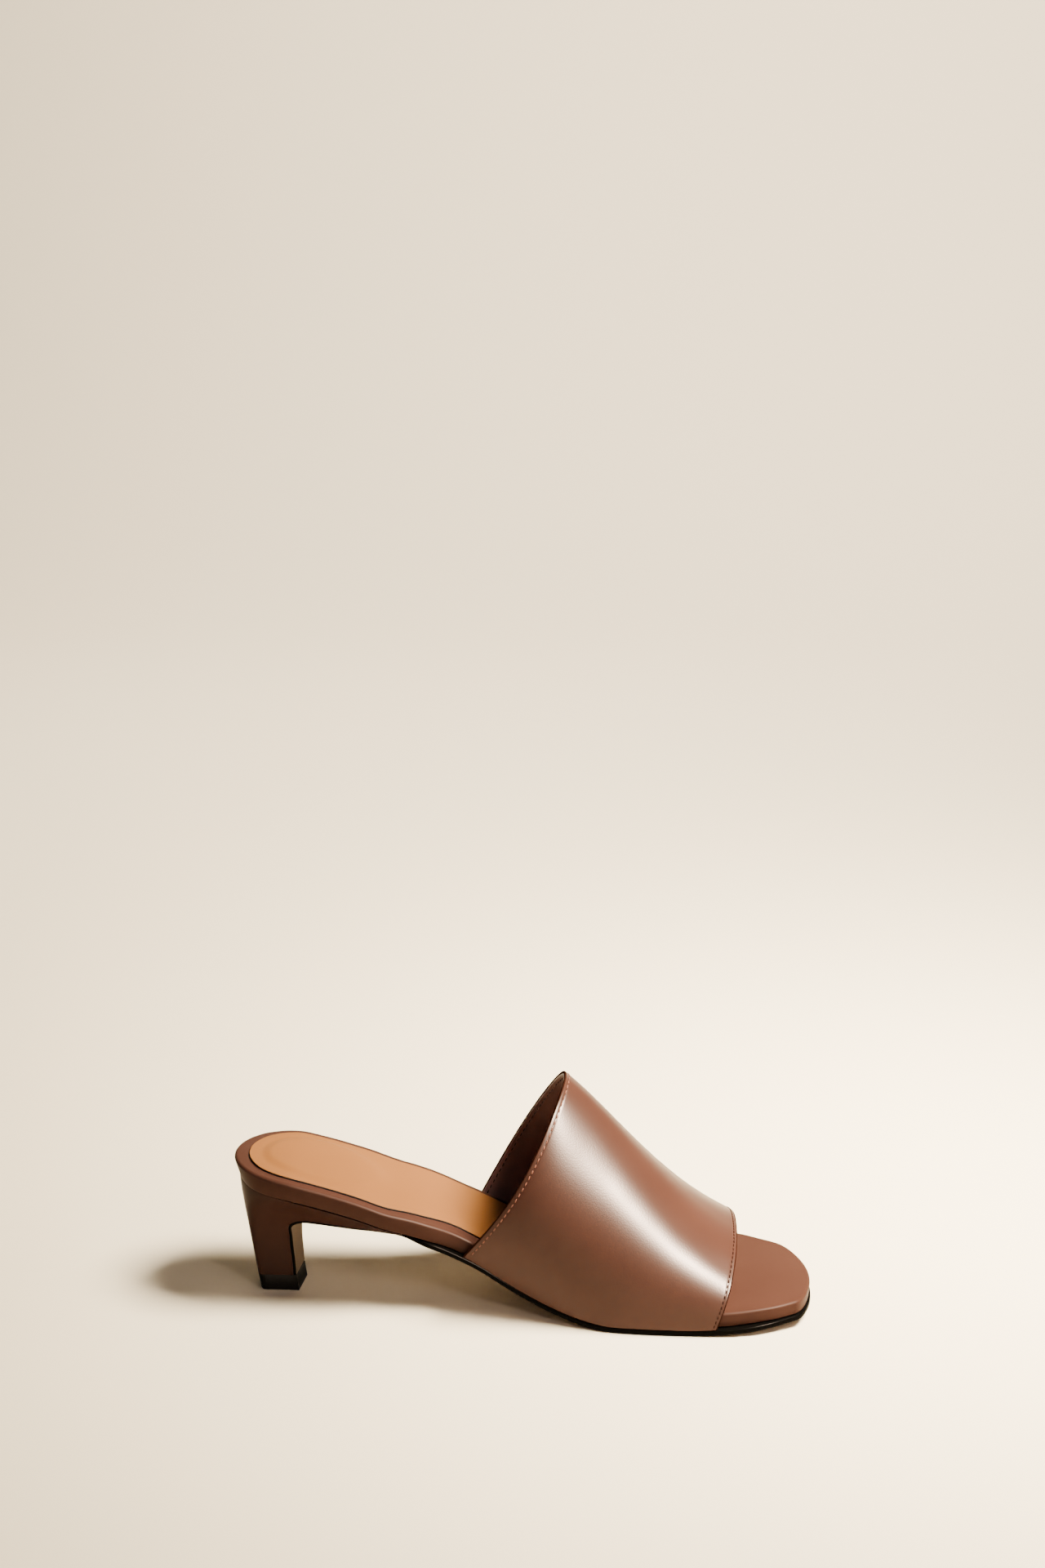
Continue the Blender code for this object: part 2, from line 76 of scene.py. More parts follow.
profile = [(SWEEP_FRONT, 0.0)]
for step in range(SWEEP_STEPS + 1):
    turn = math.pi / 2 * step / SWEEP_STEPS
    profile.append((SWEEP_BACK + SWEEP_RADIUS * math.sin(turn), SWEEP_RADIUS * (1 - math.cos(turn))))
profile.append((SWEEP_BACK + SWEEP_RADIUS, SWEEP_HEIGHT))
sweep_points = [(side * SWEEP_WIDTH / 2, y, z) for y, z in profile for side in (-1, 1)]
sweep_faces = [(2 * i, 2 * i + 1, 2 * i + 3, 2 * i + 2) for i in range(len(profile) - 1)]
sweep_mesh = bpy.data.meshes.new("sweep")
sweep_mesh.from_pydata(sweep_points, [], sweep_faces)
sweep_mesh.shade_smooth()
sweep = bpy.data.objects.new("sweep", sweep_mesh)
bpy.context.scene.collection.objects.link(sweep)
sweep_paint = bpy.data.materials.new("pale_backdrop")
sweep_paint.use_nodes = True
sweep_shader = sweep_paint.node_tree.nodes["Principled BSDF"]
sweep_shader.inputs["Base Color"].default_value = (*SWEEP_COLOR, 1.0)
sweep_shader.inputs["Roughness"].default_value = SWEEP_ROUGHNESS
sweep_shader.inputs["Specular IOR Level"].default_value = SWEEP_GLOSS
sweep_mesh.materials.append(sweep_paint)

# Lights: one soft key high at the right, which throws the shadow to the left; an upright strip at the front
# right that only shows as the band of gloss on the vamp; a light on the backdrop; a dim, cool room.
KEY = {"place": (0.40, -0.02, 0.66), "aim": (0.15, 0.14, 0.0), "size": (0.26, 0.26), "spread": 95.0,
       "watts": 20.0, "color": (1.0, 0.88, 0.65)}
STRIP = {"place": (0.76, -0.90, 0.88), "aim": (0.04, 0.0, 0.04), "size": (0.10, 0.46), "spread": 180.0,
         "watts": 820.0, "color": (1.0, 0.74, 0.54)}
BACKDROP = {"place": (0.3, 0.7, 1.1), "aim": (0.0, 2.1, 0.35), "size": (1.6, 0.5), "spread": 180.0,
            "watts": 92.0, "color": (1.0, 0.90, 0.72)}
ROOM_COLOR = (0.90, 0.95, 1.0)
ROOM_STRENGTH = 0.06


def soft_light(name, place, aim, size, spread, watts, color):
    """A rectangular lamp at a place, turned towards a point."""
    data = bpy.data.lights.new(name, "AREA")
    data.shape = "RECTANGLE"
    data.size, data.size_y = size
    data.spread = math.radians(spread)
    data.energy = watts
    data.color = color
    light = bpy.data.objects.new(name, data)
    light.location = place
    light.rotation_euler = (Vector(aim) - Vector(place)).to_track_quat("-Z", "Y").to_euler()
    bpy.context.scene.collection.objects.link(light)
    return light


soft_light("key", **KEY).visible_glossy = False
soft_light("strip", **STRIP).visible_diffuse = False
soft_light("backdrop_light", **BACKDROP).visible_glossy = False
room = bpy.data.worlds.new("room")
room.use_nodes = True
room.node_tree.nodes["Background"].inputs["Color"].default_value = (*ROOM_COLOR, 1.0)
room.node_tree.nodes["Background"].inputs["Strength"].default_value = ROOM_STRENGTH
bpy.context.scene.world = room

# Outsole: 2.3 mm leather, skived under the heel and turned down its front as a flap. Its edges are inked
# black and polished; its face stays the tan of the hide. Its outline and side view are those of the frame,
# drawn in a little on the outer side of the waist.
SHOE_LENGTH = 0.2406
BALL_WIDTH = 0.0757
HEEL_PITCH = 0.0493
SOLE_THICKNESS = 0.0023
FLAP_THICKNESS = 0.0013
CLEARANCE = 0.0003
HEEL_BACK = -0.120739
MIDDLE = -0.001016
HEEL_ROUND = 0.030
HEEL_SQUARENESS = 2.0
TOE_ROUND_INNER = 0.007
TOE_ROUND_OUTER = 0.012
TOE_SQUARENESS = 2.0
TOE_CENTRE = -0.0075
TOP_LIFT_HEIGHT = 0.0070
HEEL_SEAT_SET_IN = 0.0017
HEEL_BACK_AT_SEAT = 0.0028
HEEL_BACK_AT_TIP = 0.0092
HEEL_TIP_INNER = 0.0079
HEEL_TIP_OUTER = 0.0050
HEEL_TIP_ROUND = 0.0036
HEEL_TIP_SQUARENESS = 3.4
HEEL_TAPER = 3.0
HEEL_WEDGE_END = 0.0720
BREAST_CORNER = 0.0072
BREAST_TOP = 0.0300
BREAST_SKEW = 0.13
FLAP_END = 0.060
FLAP_FADE = 0.025
WEDGE_BLEND_END = 0.084
WEDGE_BLEND = 0.015
SOLE_STATIONS = 150
CORNER_GAP = 0.0003
BREAST_STEPS = 14
INK_ROUNDING = 0.00045
HIDE_FACES_DOWN = 0.8
HIDE_FACES_FRONT = 0.7
TAN_HIDE = (0.135, 0.104, 0.082)
TAN_HIDE_DEEP = (0.108, 0.082, 0.064)
EDGE_INK = (0.0016, 0.0014, 0.0013)
# along, inner half width, outer half width
PLAN = np.array((
    (0.000, 0.660, 0.660), (0.140, 0.672, 0.674), (0.256, 0.680, 0.680), (0.339, 0.617, 0.690),
    (0.417, 0.585, 0.775), (0.479, 0.635, 0.850), (0.545, 0.745, 0.930), (0.600, 0.860, 1.000),
    (0.653, 0.950, 1.040), (0.735, 0.983, 1.035), (0.800, 0.988, 1.020), (0.845, 0.985, 0.980),
    (0.885, 0.956, 0.888), (0.928, 0.877, 0.697), (0.962, 0.777, 0.531), (1.000, 0.666, 0.351),
))
# along, rise of the footbed's underside, depth of the heel's wedge
SIDE = np.array((
    (0.00, 1.000, 0.260), (0.10, 0.958, 0.260), (0.14, 0.916, 0.230), (0.22, 0.806, 0.158),
    (0.28, 0.700, 0.038), (0.31, 0.657, 0.008), (0.36, 0.566, 0.000), (0.42, 0.416, 0.000),
    (0.50, 0.196, 0.000), (0.56, 0.082, 0.000), (0.62, 0.018, 0.000), (0.67, 0.000, 0.000),
    (0.78, 0.000, 0.000), (0.85, 0.018, 0.000), (0.92, 0.048, 0.000), (1.00, 0.080, 0.000),
))
# height up the breast, place of its front
BREAST = np.array(((0.00, 0.1128), (0.30, 0.1115), (0.65, 0.1095), (1.00, 0.1095)))
# share of the edge's rounding drawn in, share of the sheet's thickness
INKED_EDGE = ((1.0, 0.0), (0.3, 0.05), (0.0, 0.2), (0.0, 0.8), (0.3, 0.95), (1.0, 1.0))


def smooth(table, column, place):
    """A column's value at a place, on a smooth curve through the table's rows."""
    places, values = table[:, 0], table[:, column]
    place = np.clip(np.asarray(place, float), places[0], places[-1])
    steps = np.diff(values) / np.diff(places)
    tangents = np.concatenate(([steps[0]], np.zeros(len(steps) - 1), [steps[-1]]))
    level = steps[:-1] * steps[1:] > 0
    total = np.where(level, steps[:-1] + steps[1:], 1.0)
    tangents[1:-1] = np.where(level, 2 * steps[:-1] * steps[1:] / total, 0.0)
    after = np.clip(np.searchsorted(places, place), 1, len(places) - 1)
    before = after - 1
    span = places[after] - places[before]
    t = (place - places[before]) / span
    return (
        values[before] * (2 * t**3 - 3 * t**2 + 1)
        + tangents[before] * span * (t**3 - 2 * t**2 + t)
        + values[after] * (3 * t**2 - 2 * t**3)
        + tangents[after] * span * (t**3 - t**2)
    )


def mix(a, b, share):
    """What lies a share of the way from a to b."""
    return a + (b - a) * share


def ease(share):
    """A share that starts and stops softly and stays between 0 and 1."""
    share = np.clip(share, 0.0, 1.0)
    return share * share * (3 - 2 * share)


def round_end(distance, radius, squareness):
    """Share of the full width at a distance from a rounded end."""
    inside = np.clip(distance / radius, 0.0, 1.0)
    return (1 - (1 - inside) ** squareness) ** (1 / squareness)


def body_half_width(x, side):
    """Half width of the sole on one side, before its ends are rounded."""
    return smooth(PLAN, 1 if side < 0 else 2, x / SHOE_LENGTH) * BALL_WIDTH / 2


def sole_edge(x, side):
    """Place of the sole's edge on one side, its heel and toe rounded."""
    y = side * body_half_width(x, side) * round_end(x, HEEL_ROUND, HEEL_SQUARENESS)
    toe = round_end(SHOE_LENGTH - x, TOE_ROUND_INNER if side < 0 else TOE_ROUND_OUTER, TOE_SQUARENESS)
    return TOE_CENTRE + (y - TOE_CENTRE) * toe


def seat_height(x):
    """Height of the footbed's underside."""
    return SOLE_THICKNESS + CLEARANCE + smooth(SIDE, 1, x / SHOE_LENGTH) * HEEL_PITCH


def sole_underside(x):
    """Height of the sole's worn face, lower under the heel's wedge."""
    return seat_height(x) - CLEARANCE - SOLE_THICKNESS - smooth(SIDE, 2, x / SHOE_LENGTH) * HEEL_PITCH


def thickness_at(x):
    """Thickness of the sole, which thins into the flap."""
    return mix(FLAP_THICKNESS, SOLE_THICKNESS, ease((x - FLAP_END) / FLAP_FADE))


def stations(start, end, count):
    """Places from one rounded end to the other, closer together towards both."""
    return mix(start, end, (1 - np.cos(np.pi * np.arange(count + 1) / count)) / 2)


def breast_forward(z):
    """Place of the heel's front at a height."""
    return smooth(BREAST, 1, (z - TOP_LIFT_HEIGHT) / (BREAST_TOP - TOP_LIFT_HEIGHT)) * SHOE_LENGTH


def heel_half_width(x, depth, side):
    """Half width of the heel at a station and a share of its depth."""
    taper = 1 - (1 - depth) ** HEEL_TAPER
    tip = HEEL_TIP_INNER if side < 0 else HEEL_TIP_OUTER
    flank = mix(body_half_width(x, side) - HEEL_SEAT_SET_IN, tip, taper)
    back = mix(HEEL_BACK_AT_SEAT, HEEL_BACK_AT_TIP, depth)
    radius = mix(HEEL_ROUND, HEEL_TIP_ROUND, taper)
    squareness = mix(HEEL_SQUARENESS, HEEL_TIP_SQUARENESS, taper)
    return flank * round_end(x - back, radius, squareness)


def sole_path():
    """Side view of the outsole's outer face from the toe to the top lift: place, height and skew."""
    corner = breast_forward(BREAST_TOP) + BREAST_CORNER
    along = stations(0.0, SHOE_LENGTH, SOLE_STATIONS)[::-1]
    along = along[along > corner + CORNER_GAP]
    rows = np.stack((along, sole_underside(along), BREAST_SKEW * ease((FLAP_END - along) / FLAP_FADE)), 1)
    turn = np.pi / 2 * np.arange(BREAST_STEPS + 1) / BREAST_STEPS
    bend = np.stack((
        mix(corner, breast_forward(BREAST_TOP), np.sin(turn)),
        mix(BREAST_TOP, sole_underside(corner), np.cos(turn)),
        np.full(len(turn), BREAST_SKEW),
    ), 1)
    z = mix(BREAST_TOP, TOP_LIFT_HEIGHT + CLEARANCE, np.arange(1, BREAST_STEPS + 1) / BREAST_STEPS)
    drop = np.stack((breast_forward(z), z, np.full(len(z), BREAST_SKEW)), 1)
    return np.concatenate((rows, bend, drop))


def path_normals(path):
    """Unit vectors square to the path in side view, pointing into the shoe."""
    run = np.gradient(path[:, :2], axis=0)
    run /= np.linalg.norm(run, axis=1)[:, None]
    normals = np.stack((run[:, 1], -run[:, 0]), 1)
    normals[-1] = (-1.0, 0.0)
    return normals


def drawn_in(ring, inset):
    """A ring that runs from the back over the inner side, moved inwards by one distance or one per point."""
    along = np.roll(ring, -1, axis=0) - np.roll(ring, 1, axis=0)
    inwards = np.stack((-along[:, 1], along[:, 0]), 1)
    inwards /= np.linalg.norm(inwards, axis=1)[:, None]
    return ring + inwards * np.reshape(inset, (-1, 1))


def loft(rings):
    """Points and quads through rings of one length, with strips of faces across the first and the last."""
    count = len(rings[0])
    faces = []
    for level in range(len(rings) - 1):
        here, above = level * count, (level + 1) * count
        for i in range(count):
            j = (i + 1) % count
            faces.append((here + i, here + j, above + j, above + i))
    for level in (0, len(rings) - 1):
        first = level * count
        faces.append((first, first + 1, first + count - 1))
        low, high = 1, count - 1
        while high - low > 2:
            faces.append((first + low, first + low + 1, first + high - 1, first + high))
            low, high = low + 1, high - 1
        if high - low == 2:
            faces.append((first + low, first + low + 1, first + high))
    return np.concatenate(rings), faces


SAME_POINT = 0.000001


def new_piece(name, points, faces, materials, node=None, sharp=45.0):
    """A mesh from points in the shoe's own measure, put in the frame and riding on its one body."""
    mesh = bpy.data.meshes.new(name)
    placed = np.asarray(points, float) + np.array((HEEL_BACK, MIDDLE, 0.0))
    mesh.from_pydata(placed.tolist(), [], faces)
    shell = bmesh.new()
    shell.from_mesh(mesh)
    bmesh.ops.remove_doubles(shell, verts=shell.verts, dist=SAME_POINT)
    bmesh.ops.recalc_face_normals(shell, faces=shell.faces)
    shell.to_mesh(mesh)
    shell.free()
    for material in materials:
        mesh.materials.append(material)
    mesh.shade_smooth()
    mesh.set_sharp_from_angle(angle=math.radians(sharp))
    piece = bpy.data.objects.new(name, mesh)
    bpy.context.scene.collection.objects.link(piece)
    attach(piece, "root")
    if node:
        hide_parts(node)
    return piece


def apply_modifiers(piece):
    """The piece with its modifiers worked into a plain mesh."""
    depsgraph = bpy.context.evaluated_depsgraph_get()
    mesh = bpy.data.meshes.new_from_object(piece.evaluated_get(depsgraph))
    piece.modifiers.clear()
    piece.data = mesh


PATCHES_FROM = 0.3
PATCH_CONTRAST = 2.2


def leather_skin():
    """Shader group for leather: fine grain, soft creases and patches of deeper colour."""
    group = bpy.data.node_groups.new("leather_skin", "ShaderNodeTree")
    for socket, kind in (
        ("Color", "NodeSocketColor"), ("Deep Color", "NodeSocketColor"), ("Patch Size", "NodeSocketFloat"),
        ("Grain Size", "NodeSocketFloat"), ("Grain Depth", "NodeSocketFloat"),
        ("Crease Size", "NodeSocketFloat"), ("Crease Depth", "NodeSocketFloat"),
        ("Roughness", "NodeSocketFloat"), ("Roughness Spread", "NodeSocketFloat"),
    ):
        group.interface.new_socket(name=socket, in_out="INPUT", socket_type=kind)
    for socket, kind in (
        ("Color", "NodeSocketColor"), ("Roughness", "NodeSocketFloat"), ("Normal", "NodeSocketVector"),
    ):
        group.interface.new_socket(name=socket, in_out="OUTPUT", socket_type=kind)
    nodes, link = group.nodes, group.links.new
    given, result = nodes.new("NodeGroupInput"), nodes.new("NodeGroupOutput")
    place = nodes.new("ShaderNodeTexCoord").outputs["Object"]

    def math_node(operation, first, second):
        node = nodes.new("ShaderNodeMath")
        node.operation = operation
        for socket, value in zip(node.inputs, (first, second)):
            if isinstance(value, (int, float)):
                socket.default_value = value
            else:
                link(value, socket)
        return node.outputs["Value"]

    def noise(size, detail):
        node = nodes.new("ShaderNodeTexNoise")
        node.inputs["Detail"].default_value = detail
        link(place, node.inputs["Vector"])
        link(math_node("DIVIDE", 1.0, size), node.inputs["Scale"])
        return node.outputs["Fac"]

    patches = noise(given.outputs["Patch Size"], 4.0)
    blend = nodes.new("ShaderNodeMix")
    blend.data_type = "RGBA"
    patch_share = math_node("MULTIPLY", math_node("SUBTRACT", patches, PATCHES_FROM), PATCH_CONTRAST)
    link(patch_share, blend.inputs["Factor"])
    link(given.outputs["Color"], blend.inputs["A"])
    link(given.outputs["Deep Color"], blend.inputs["B"])
    link(blend.outputs["Result"], result.inputs["Color"])
    cells = nodes.new("ShaderNodeTexVoronoi")
    link(place, cells.inputs["Vector"])
    link(math_node("DIVIDE", 1.0, given.outputs["Grain Size"]), cells.inputs["Scale"])
    grain = math_node("MULTIPLY", cells.outputs["Distance"], given.outputs["Grain Depth"])
    pores = math_node("MULTIPLY", noise(given.outputs["Grain Size"], 3.0), given.outputs["Grain Depth"])
    creases = math_node("MULTIPLY", noise(given.outputs["Crease Size"], 2.0), given.outputs["Crease Depth"])
    bump = nodes.new("ShaderNodeBump")
    bump.inputs["Distance"].default_value = 1.0
    link(math_node("ADD", math_node("SUBTRACT", pores, grain), creases), bump.inputs["Height"])
    link(bump.outputs["Normal"], result.inputs["Normal"])
    spread = math_node("MULTIPLY", math_node("SUBTRACT", patches, 0.5), given.outputs["Roughness Spread"])
    link(math_node("ADD", given.outputs["Roughness"], spread), result.inputs["Roughness"])
    return group


LEATHER_SKIN = leather_skin()


def leather(name, color, deep, roughness, gloss, grain=(0.0005, 0.000012), crease=(0.011, 0.00004),
            patch=0.03, spread=0.12):
    """A leather: its two shades, gloss, and the size and depth of its grain and creases in metres."""
    material = bpy.data.materials.new(name)
    material.use_nodes = True
    nodes, link = material.node_tree.nodes, material.node_tree.links.new
    shader = nodes["Principled BSDF"]
    skin = nodes.new("ShaderNodeGroup")
    skin.node_tree = LEATHER_SKIN
    for socket, value in (
        ("Color", (*color, 1.0)), ("Deep Color", (*deep, 1.0)), ("Patch Size", patch),
        ("Grain Size", grain[0]), ("Grain Depth", grain[1]), ("Crease Size", crease[0]),
        ("Crease Depth", crease[1]), ("Roughness", roughness), ("Roughness Spread", spread),
    ):
        skin.inputs[socket].default_value = value
    if color == deep:
        shader.inputs["Base Color"].default_value = (*color, 1.0)
    else:
        link(skin.outputs["Color"], shader.inputs["Base Color"])
    link(skin.outputs["Roughness"], shader.inputs["Roughness"])
    link(skin.outputs["Normal"], shader.inputs["Normal"])
    shader.inputs["Specular IOR Level"].default_value = gloss
    return material


def outsole_ring(path, normals, inset, lift):
    """The sheet's outline at a share of its thickness, drawn in along the sheet itself."""
    run = np.concatenate(([0.0], np.cumsum(np.linalg.norm(np.diff(path[:, :2], axis=0), axis=1))))
    depth = np.clip(
        (seat_height(path[:, 0]) - CLEARANCE - path[:, 1])
        / (seat_height(path[:, 0]) - 2 * CLEARANCE - TOP_LIFT_HEIGHT), 0.0, 1.0)
    wedge = ease((WEDGE_BLEND_END - path[:, 0]) / WEDGE_BLEND)
    edges = []
    for side in (-1, 1):
        flap = side * heel_half_width(path[:, 0], depth, side)
        edges.append(mix(sole_edge(path[:, 0], side), flap, wedge))
    inner = np.stack((-run[1:], edges[0][1:]), 1)[::-1]
    outer = np.stack((-run[1:], edges[1][1:]), 1)
    ring = drawn_in(np.concatenate((inner, [(0.0, TOE_CENTRE)], outer)), inset)
    # The loft wants the toe first
    ring = np.roll(ring, -len(inner), axis=0)
    place = -ring[:, 0]
    x, z, skew, nx, nz = (
        np.interp(place, run, column)
        for column in (path[:, 0], path[:, 1], path[:, 2], normals[:, 0], normals[:, 1])
    )
    square = np.where(x > HEEL_WEDGE_END, nz, 1.0)
    step = thickness_at(x) * square * lift
    return np.stack((x + skew * ring[:, 1] + nx * step, ring[:, 1], z + nz * step), 1)


path = sole_path()
normals = path_normals(path)
rings = [outsole_ring(path, normals, inset * INK_ROUNDING, lift) for inset, lift in INKED_EDGE]
hide = leather("outsole_hide", TAN_HIDE, TAN_HIDE_DEEP, roughness=0.5, gloss=0.0, grain=(0.0007, 0.00001),
               crease=(0.02, 0.00002))
ink = leather("edge_ink", EDGE_INK, EDGE_INK, roughness=0.24, gloss=0.006, grain=(0.0012, 0.000016),
              crease=(0.004, 0.00002), spread=0.06)
points, faces = loft(rings)
outsole = new_piece("outsole_leather", points, faces, (ink, hide), "outsole", sharp=60.0)
for face in outsole.data.polygons:
    on_flap = face.normal.x > HIDE_FACES_FRONT and face.center.x < HEEL_BACK + FLAP_END
    if face.normal.z < -HIDE_FACES_DOWN or on_flap:
        face.material_index = 1

# Heel: a moulded block with a forward wedge, covered in brown leather whose colour is painted darker than
# the footbed's, as painted shade on its sides. Its back slants in and its sides taper, and its covered
# underside meets the outsole.
HEEL_ROWS = 44
HEEL_COLUMNS = 52
HEEL_COLUMN_SPREAD = 1.8
# Painted shade: the heel's leather colour is kept about half as bright as the footbed's leather.
HEEL_SHADE_PAINTED_LEATHER = (0.024, 0.0095, 0.0070)
HEEL_SHADE_PAINTED_LEATHER_DEEP = (0.020, 0.0078, 0.0058)
COVER_EDGE = 0.0005
COVER_EDGE_STEPS = 3
COVER_EDGE_FROM = 50
COVER_SHARP_FROM = 40
COVER_GAP = 0.4 * CLEARANCE

rings = []
for row in range(HEEL_ROWS + 1):
    depth = row / HEEL_ROWS
    back = mix(HEEL_BACK_AT_SEAT, HEEL_BACK_AT_TIP, depth)
    share = (np.arange(1, HEEL_COLUMNS + 1) / HEEL_COLUMNS) ** HEEL_COLUMN_SPREAD
    x = back + (HEEL_WEDGE_END - back) * share
    inner = np.stack((x, -heel_half_width(x, depth, -1)), 1)
    outer = np.stack((x, heel_half_width(x, depth, 1)), 1)[::-1]
    ring = np.concatenate(([(back, 0.0)], inner, outer))
    height = mix(seat_height(ring[:, 0]) - CLEARANCE, TOP_LIFT_HEIGHT + COVER_GAP, depth)
    rings.append(np.column_stack((ring, height)))
heel_leather_painted_shade = leather("heel_leather_painted_shade", HEEL_SHADE_PAINTED_LEATHER, HEEL_SHADE_PAINTED_LEATHER_DEEP, roughness=0.42, gloss=0.03)
points, faces = loft(rings)
heel = new_piece("heel_cover", points, faces, (heel_leather_painted_shade,), "heel")

# The outsole's inner face, carried below the floor, cuts the heel's underside and front
square = np.where(path[:, 0] > HEEL_WEDGE_END, normals[:, 1], 1.0)
reach = (thickness_at(path[:, 0]) + COVER_GAP) * square
edge = np.stack((path[:, 0] + normals[:, 0] * reach, path[:, 1] + normals[:, 1] * reach, path[:, 2]), 1)
edge = edge[path[:, 0] < WEDGE_BLEND_END]
edge[-1] = (edge[-1, 0], -TOP_LIFT_HEIGHT, BREAST_SKEW)
edge = np.concatenate((edge, [(edge[0, 0], -TOP_LIFT_HEIGHT, 0.0)]))
sides = [
    np.stack((edge[:, 0] + edge[:, 2] * y, np.full(len(edge), y), edge[:, 1]), 1)
    for y in (-BALL_WIDTH, BALL_WIDTH)
]
count = len(edge)
cutter_faces = [(i, (i + 1) % count, (i + 1) % count + count, i + count) for i in range(count)]
cutter_faces += [tuple(range(count)), tuple(reversed(range(count, 2 * count)))]
cutter = new_piece("under_heel", np.concatenate(sides), cutter_faces, ())
cut = heel.modifiers.new("under heel", "BOOLEAN")
cut.operation = "DIFFERENCE"
cut.object = cutter
soften = heel.modifiers.new("soften", "BEVEL")
soften.width = COVER_EDGE
soften.segments = COVER_EDGE_STEPS
soften.limit_method = "ANGLE"
soften.angle_limit = math.radians(COVER_EDGE_FROM)
apply_modifiers(heel)
bpy.data.objects.remove(cutter)
heel.data.shade_smooth()
heel.data.set_sharp_from_angle(angle=math.radians(COVER_SHARP_FROM))

# Top lift: a 7 mm block of black rubber fixed under the heel. Its back leans in and its front stands a
# little forward.
TOP_LIFT_CHAMFER = 0.0002
LIFT_BACK_AT_FLOOR = 0.0104
LIFT_FLARE = 0.0009
LIFT_COLUMNS = 24
LIFT_COLUMN_SPREAD = 2.2
RUBBER = (0.0018, 0.0019, 0.0022)

rings = []
part_way = 0.3 * TOP_LIFT_CHAMFER
for z, inset in ((0.0, TOP_LIFT_CHAMFER), (part_way, part_way), (TOP_LIFT_CHAMFER, 0.0),
                 (TOP_LIFT_HEIGHT - TOP_LIFT_CHAMFER, 0.0), (TOP_LIFT_HEIGHT, TOP_LIFT_CHAMFER)):
    up = z / TOP_LIFT_HEIGHT
    back = mix(LIFT_BACK_AT_FLOOR, HEEL_BACK_AT_TIP, up)
    front = breast_forward(TOP_LIFT_HEIGHT) + LIFT_FLARE * (1 - up)
    x = back + (front - back) * (np.arange(1, LIFT_COLUMNS + 1) / LIFT_COLUMNS) ** LIFT_COLUMN_SPREAD
    share = round_end(x - back, HEEL_TIP_ROUND, HEEL_TIP_SQUARENESS)
    inner, outer = np.stack((x, -HEEL_TIP_INNER * share), 1), np.stack((x, HEEL_TIP_OUTER * share), 1)
    ring = np.concatenate(([(back, 0.0)], inner, outer[::-1]))
    ring[:, 0] += BREAST_SKEW * ring[:, 1] * (ring[:, 0] - back) / (front - back)
    rings.append(np.column_stack((drawn_in(ring, inset), np.full(len(ring), z))))
rubber = leather("lift_rubber", RUBBER, RUBBER, roughness=0.5, gloss=0.02, grain=(0.0006, 0.000006),
                 crease=(0.006, 0.00001), spread=0.08)
points, faces = loft(rings)
new_piece("lift", points, faces, (rubber,), "top_lift")

# Footbed: an insole board on a thin filler, wrapped in brown leather that turns over its round edge and is
# lasted under. It shows as a broad rim round the sock and as the whole floor of the open toe.
FOOTBED_AT_HEEL = 0.0089
FOOTBED_AT_TOE = 0.0061
FOOTBED_EDGE_RADIUS = 0.0014
UPPER_WALL = 0.0018
TUCK_RADIUS = 0.0006
RING_STATIONS = 150
EDGE_STEPS = 8
BROWN = (0.040, 0.0165, 0.0120)
BROWN_DEEP = (0.034, 0.0138, 0.0100)
# along, edge set in, lean, sock's inner edge set in, in shares of the room for the vamp's wall
BOARD = np.array((
    (0.000, 0.430, 1.000, 1.85), (0.050, 0.143, 0.667, 1.85), (0.249, 0.143, 0.667, 1.90),
    (0.332, 0.143, 0.300, 2.30), (0.399, 1.000, 0.143, 2.70), (0.881, 1.000, 0.143, 2.70),
    (0.964, 0.286, 0.143, 2.70), (1.000, 0.286, 0.143, 2.70),
))
ROOM = UPPER_WALL + CLEARANCE


def footbed_top(x):
    """Height of the footbed's upper face."""
    return seat_height(x) + mix(FOOTBED_AT_HEEL, FOOTBED_AT_TOE, x / SHOE_LENGTH)


def board(column, ring):
    """A column of the board's table along a ring, in metres."""
    return smooth(BOARD, column, ring[:, 0] / SHOE_LENGTH) * ROOM


def plan_ring():
    """The sole's outline from above: back point, inner side, front point, outer side."""
    x = stations(0.0, SHOE_LENGTH, RING_STATIONS)
    inner = np.stack((x[1:-1], sole_edge(x[1:-1], -1)), 1)
    outer = np.stack((x[1:-1], sole_edge(x[1:-1], 1)), 1)[::-1]
    return np.concatenate(([(0.0, 0.0)], inner, [(SHOE_LENGTH, TOE_CENTRE)], outer))


outline = plan_ring()
outline = drawn_in(outline, board(1, outline))
turns = np.pi / 2 * np.arange(EDGE_STEPS + 1) / EDGE_STEPS
rings = []
for turn in turns:
    ring = drawn_in(outline, FOOTBED_EDGE_RADIUS * (1 - math.sin(turn)))
    drop = FOOTBED_EDGE_RADIUS * (1 - math.cos(turn))
    rings.append(np.column_stack((ring, footbed_top(ring[:, 0]) - drop)))
for turn in turns[::2]:
    lean = board(2, outline) + TUCK_RADIUS * (1 - math.cos(turn))
    ring = drawn_in(outline, lean)
    rings.append(np.column_stack((ring, seat_height(ring[:, 0]) + TUCK_RADIUS * (1 - math.sin(turn)))))
brown = leather("footbed_leather", BROWN, BROWN_DEEP, roughness=0.46, gloss=0.025, crease=(0.03, 0.00002))
points, faces = loft(rings)
new_piece("footbed_wrap", points, faces, (brown,), "footbed")
